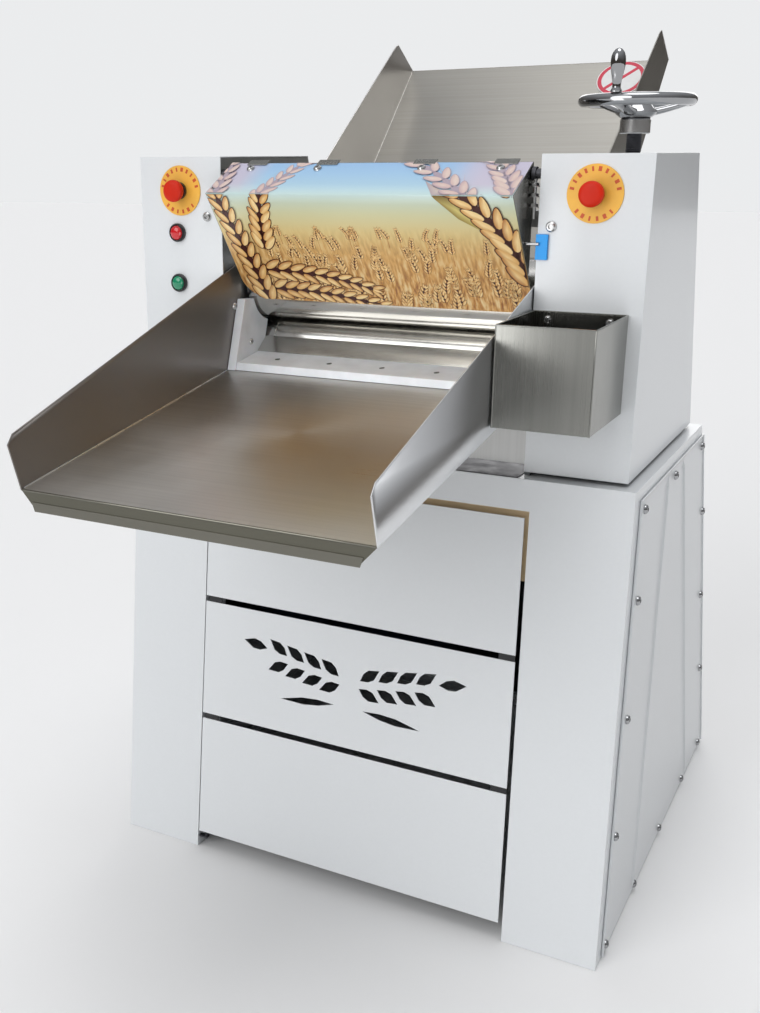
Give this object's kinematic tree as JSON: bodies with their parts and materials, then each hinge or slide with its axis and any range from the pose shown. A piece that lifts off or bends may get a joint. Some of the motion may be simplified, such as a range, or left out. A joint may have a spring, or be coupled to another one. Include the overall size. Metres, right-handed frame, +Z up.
{
  "type": "dough sheeter",
  "caption": "Floor-standing dough sheeter: steel rollers between white housings, front and rear stainless trays, hinged guard, flour box, gap handwheel and a flared cabinet.",
  "frame": {"origin": "on the floor at the middle of the whole footprint", "axes": "+X to the right seen from the front, +Y to the back, +Z up; the front tray points to -Y"},
  "size_m": [1.0344, 1.512, 1.641],
  "materials": {
    "white_paint": "gloss powder coat",
    "stainless": "brushed",
    "plate_steel": "ground",
    "dark_steel": "oiled black",
    "chrome": "polished",
    "nylon": "machined white plastic",
    "black_plastic": "moulded",
    "yellow_plastic": "printed",
    "red_plastic": "gloss",
    "green_plastic": "gloss",
    "blue_plastic": "gloss",
    "tan_strip": "matte",
    "printed_sheet": "gloss film",
    "motor_paint": "satin"
  },
  "bodies": {
    "machine": {"base_frame": "white_paint", "bearing_lower_left": "dark_steel", "bearing_lower_right": "dark_steel", "button_green_bezel": "black_plastic", "button_red_bezel": "black_plastic", "cheek_left": "nylon", "cheek_right": "nylon", "control_box": "motor_paint", "door_pin_lower": "dark_steel", "door_pin_upper": "dark_steel", "door_seal": "tan_strip", "drive_chain": "dark_steel", "estop_left_body": "black_plastic", "estop_left_legend": "yellow_plastic", "estop_right_body": "black_plastic", "estop_right_legend": "yellow_plastic", "flour_box": "stainless", "front_apron": "stainless", "front_tray": "stainless", "guard_pivot_left": "dark_steel", "guard_pivot_right": "dark_steel", "housing_left": "white_paint", "housing_right": "white_paint", "interlock_tab": "blue_plastic", "lead_plate": "nylon", "lift_nut": "plate_steel", "motor": "motor_paint", "motor_shelf": "plate_steel", "rear_cover": "white_paint", "rear_tray": "stainless", "reducer": "motor_paint", "scraper_blade": "stainless", "side_cover_left": "white_paint", "side_cover_right": "white_paint", "side_plate_left": "plate_steel", "side_plate_right": "plate_steel"},
    "door": {"door_frame": "white_paint", "door_panel_bottom": "white_paint", "door_panel_middle": "white_paint", "door_panel_top": "white_paint"},
    "guard": {"guard": "printed_sheet", "latch_pin": "chrome"},
    "lower_roller": {"roller_lower": "stainless", "gear_lower": "plate_steel", "roller_sprocket": "plate_steel"},
    "drive_sprocket": {"drive_sprocket": "plate_steel"},
    "lift": {"lift_crossbar": "plate_steel", "bearing_upper_left": "dark_steel", "bearing_upper_right": "dark_steel"},
    "upper_roller": {"roller_upper": "stainless", "gear_upper": "plate_steel"},
    "handwheel": {"handwheel": "chrome", "lift_screw": "dark_steel"},
    "crank_knob": {"crank_knob": "chrome"},
    "estop_left": {"estop_left_head": "red_plastic"},
    "estop_right": {"estop_right_head": "red_plastic"},
    "button_red": {"button_red_cap": "red_plastic"},
    "button_green": {"button_green_cap": "green_plastic"}
  },
  "joints": [
    {"name": "door_hinge", "type": "hinge", "parent": "machine", "child": "door", "pos_m": [-0.32143, -0.22739, 0.03125], "axis": [-0.0182, -0.0831, -0.9964], "range_deg": [0, 105]},
    {"name": "guard_hinge", "type": "hinge", "parent": "machine", "child": "guard", "pos_m": [0, -0.129, 1.37], "axis": [-1, 0, 0], "range_deg": [0, 100]},
    {"name": "lower_spin", "type": "hinge", "parent": "machine", "child": "lower_roller", "pos_m": [0, 0.046, 1.036], "axis": [1, 0, 0], "continuous": true},
    {"name": "drive_spin", "type": "hinge", "parent": "machine", "child": "drive_sprocket", "pos_m": [0, 0.111, 0.56], "axis": [1, 0, 0], "continuous": true},
    {"name": "roller_lift", "type": "slide", "parent": "machine", "child": "lift", "axis": [0, 0, 1], "range_m": [-0.003, 0.008]},
    {"name": "upper_spin", "type": "hinge", "parent": "lift", "child": "upper_roller", "pos_m": [0, 0.003, 1.163], "axis": [1, 0, 0], "continuous": true},
    {"name": "handwheel_turn", "type": "hinge", "parent": "lift", "child": "handwheel", "pos_m": [0.389, 0.086, 1.484], "axis": [0, 0, 1], "range_deg": [-270, 720]},
    {"name": "knob_spin", "type": "hinge", "parent": "handwheel", "child": "crank_knob", "pos_m": [0.37408, 0.00029, 1.5], "axis": [0, 0, 1], "continuous": true},
    {"name": "estop_left_push", "type": "slide", "parent": "machine", "child": "estop_left", "axis": [0, 1, 0], "range_m": [0, 0.004]},
    {"name": "estop_right_push", "type": "slide", "parent": "machine", "child": "estop_right", "axis": [0, 1, 0], "range_m": [0, 0.004]},
    {"name": "button_red_push", "type": "slide", "parent": "machine", "child": "button_red", "axis": [0, 1, 0], "range_m": [0, 0.003], "stiffness_N_per_m": 400, "springref_m": -0.001},
    {"name": "button_green_push", "type": "slide", "parent": "machine", "child": "button_green", "axis": [0, 1, 0], "range_m": [0, 0.003], "stiffness_N_per_m": 400, "springref_m": -0.001}
  ],
  "couplings": [
    {"joint": "upper_spin", "follows": "lower_spin", "ratio": -1},
    {"joint": "drive_spin", "follows": "lower_spin", "ratio": 1.8},
    {"joint": "handwheel_turn", "follows": "roller_lift", "rad_per_m": 1570.8}
  ]
}
